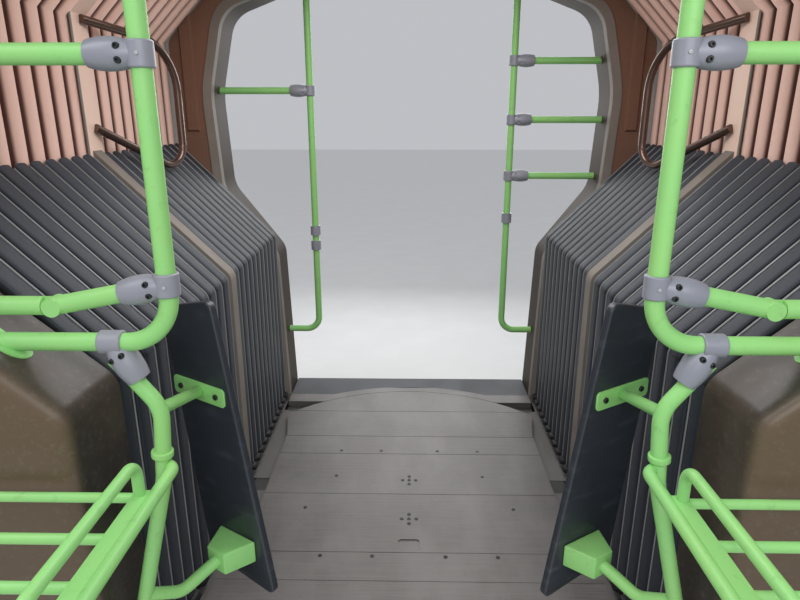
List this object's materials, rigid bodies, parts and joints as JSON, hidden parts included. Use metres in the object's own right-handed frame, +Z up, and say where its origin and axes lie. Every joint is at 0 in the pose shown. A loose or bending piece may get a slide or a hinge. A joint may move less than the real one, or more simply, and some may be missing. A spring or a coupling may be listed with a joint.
{
  "type": "articulated bus gangway joint",
  "caption": "Hinged passage of an articulated bus: end frames, pleated bellows, turning floor, side guards and grab rails.",
  "frame": {"origin": "on the vertical turning axis, at the level the joint stands on", "axes": "+Y from the front section to the rear section, +X to the right facing the rear section, +Z up"},
  "size_m": [2.464, 2.65, 2.562],
  "materials": {
    "rail_paint": "satin light green paint",
    "clamp": "satin grey plastic",
    "board": "satin charcoal plastic",
    "moulding": "satin brown moulding",
    "trim": "satin grey-beige strip",
    "planks": "scuffed mill finish",
    "steel": "semi-matt black paint",
    "frame_alloy": "mill finish",
    "vinyl": "fine-grained floor covering",
    "bellows_cloth": "coated cloth",
    "side_cloth": "coated cloth",
    "loop_tube": "dark bronze paint"
  },
  "bodies": {
    "front": {"bearing_outer_ring": "steel", "board_brackets_left": "rail_paint", "board_brackets_right": "rail_paint", "cross_tubes_left": "rail_paint", "cross_tubes_right": "rail_paint", "floor_plate": "planks", "front_cover_left": "moulding", "front_cover_right": "moulding", "front_cover_roof": "moulding", "front_frame": "frame_alloy", "front_underframe": "steel", "grab_pole_left": "rail_paint", "grab_pole_right": "rail_paint", "guard_board_left": "board", "guard_board_right": "board", "outer_bellows_front": "bellows_cloth", "pole_clamps_left": "clamp", "pole_clamps_right": "clamp", "rack_left": "rail_paint", "rack_leg_left": "rail_paint", "rack_leg_right": "rail_paint", "rack_right": "rail_paint", "side_bellows_front_left": "side_cloth", "side_bellows_front_right": "side_cloth"},
    "middle": {"guard_loop_left": "loop_tube", "guard_loop_right": "loop_tube", "middle_beam": "steel", "middle_hoop": "frame_alloy", "middle_leg_left": "trim", "middle_leg_right": "trim"},
    "rear": {"bearing_inner_ring": "steel", "outer_bellows_rear": "bellows_cloth", "rear_clamps_left": "clamp", "rear_clamps_right": "clamp", "rear_cover_left": "moulding", "rear_cover_right": "moulding", "rear_cover_roof": "moulding", "rear_floor": "vinyl", "rear_frame": "frame_alloy", "rear_pole_left": "rail_paint", "rear_pole_right": "rail_paint", "rear_trim": "trim", "rear_tubes_left": "rail_paint", "rear_tubes_right": "rail_paint", "rear_underframe": "steel", "side_bellows_rear_left": "side_cloth", "side_bellows_rear_right": "side_cloth", "slide_plate": "steel", "threshold": "planks"}
  },
  "joints": [
    {"name": "front_turn", "type": "hinge", "parent": "front", "child": "middle", "pos_m": [0, 0, 0], "axis": [0, 0, 1], "range_deg": [-25, 25], "deforming": ["outer_bellows_front", "side_bellows_front_left", "side_bellows_front_right"]},
    {"name": "rear_turn", "type": "hinge", "parent": "middle", "child": "rear", "pos_m": [0, 0, 0], "axis": [0, 0, 1], "range_deg": [-25, 25], "deforming": ["outer_bellows_rear", "side_bellows_rear_left", "side_bellows_rear_right"]}
  ],
  "couplings": [
    {"joint": "front_turn", "follows": "rear_turn", "ratio": 1}
  ]
}
